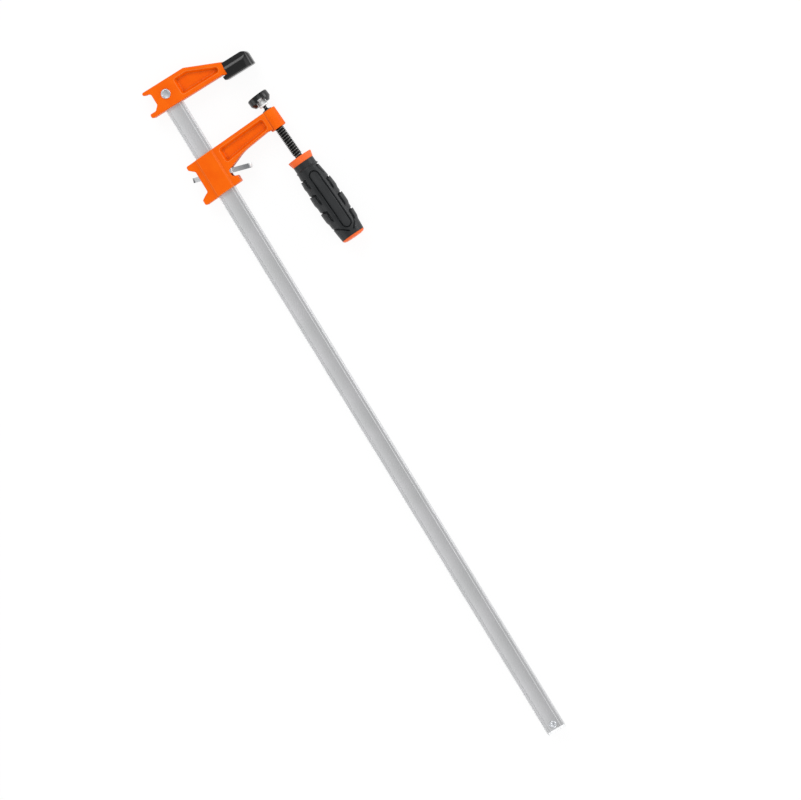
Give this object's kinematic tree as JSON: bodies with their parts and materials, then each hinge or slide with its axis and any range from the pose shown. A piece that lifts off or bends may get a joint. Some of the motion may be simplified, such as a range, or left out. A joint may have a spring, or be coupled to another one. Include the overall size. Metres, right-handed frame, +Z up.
{
  "type": "bar clamp",
  "caption": "F-style bar clamp: a riveted fixed jaw and a clutch-held sliding jaw on a flat steel bar, with a screw, a swivel pad and a moulded grip handle.",
  "frame": {"origin": "centre of the fixed jaw pad's clamping face, in the clamp's middle plane", "axes": "+X along the bar from the fixed jaw to the bar's free end, +Y from the bar to the jaw tips, +Z up out of the clamp's flat side"},
  "size_m": [0.7167, 0.1167, 0.0276],
  "materials": {
    "bar_steel": "satin zinc-plated steel",
    "stop_steel": "satin steel",
    "head_paint": "orange powder-coated casting",
    "rivet_steel": "satin steel",
    "pad_plastic": "matte charcoal moulding",
    "plate_steel": "bright zinc-plated steel",
    "spring_steel": "spring wire",
    "screw_steel": "black oxide steel",
    "socket_chrome": "bright plated steel",
    "handle_plastic": "orange moulding",
    "grip_rubber": "soft charcoal overmould"
  },
  "bodies": {
    "bar": {"bar": "bar_steel", "bar_end_stop": "stop_steel", "fixed_head": "head_paint", "fixed_head_rivet": "rivet_steel", "fixed_jaw_pad": "pad_plastic"},
    "sliding_head": {"sliding_head": "head_paint", "clutch_spring": "spring_steel"},
    "clutch": {"clutch_plate_1": "plate_steel", "clutch_plate_2": "plate_steel"},
    "screw_carrier": {"spindle_stop_washer": "screw_steel"},
    "screw": {"spindle": "screw_steel", "handle_core": "handle_plastic", "handle_grip": "grip_rubber", "handle_end_cap": "handle_plastic"},
    "swivel": {"swivel_socket": "socket_chrome", "swivel_pad": "pad_plastic"}
  },
  "joints": [
    {"name": "head_slide", "type": "slide", "parent": "bar", "child": "sliding_head", "axis": [1, 0, 0], "range_m": [0, 0.5854]},
    {"name": "clutch_tilt", "type": "hinge", "parent": "sliding_head", "child": "clutch", "pos_m": [0.07075, -0.0557, 0], "axis": [0, 0, 1], "range_deg": [0, 9], "stiffness_Nm_per_rad": 0.4, "springref_deg": -11.46, "deforming": ["clutch_spring"]},
    {"name": "screw_feed", "type": "slide", "parent": "sliding_head", "child": "screw_carrier", "axis": [-0.9984, -0.0558, 0], "range_m": [0, 0.0232]},
    {"name": "screw_turn", "type": "hinge", "parent": "screw_carrier", "child": "screw", "pos_m": [0.0349, 0.001, 0], "axis": [-0.9984, -0.0558, 0], "range_deg": [0, 5220]},
    {"name": "swivel_tilt", "type": "hinge", "parent": "screw_carrier", "child": "swivel", "pos_m": [0.0349, 0.001, 0], "axis": [0, 0, 1], "range_deg": [-17.5, 12]}
  ],
  "couplings": [
    {"joint": "screw_feed", "follows": "screw_turn", "m_per_rad": 0.00025465}
  ]
}
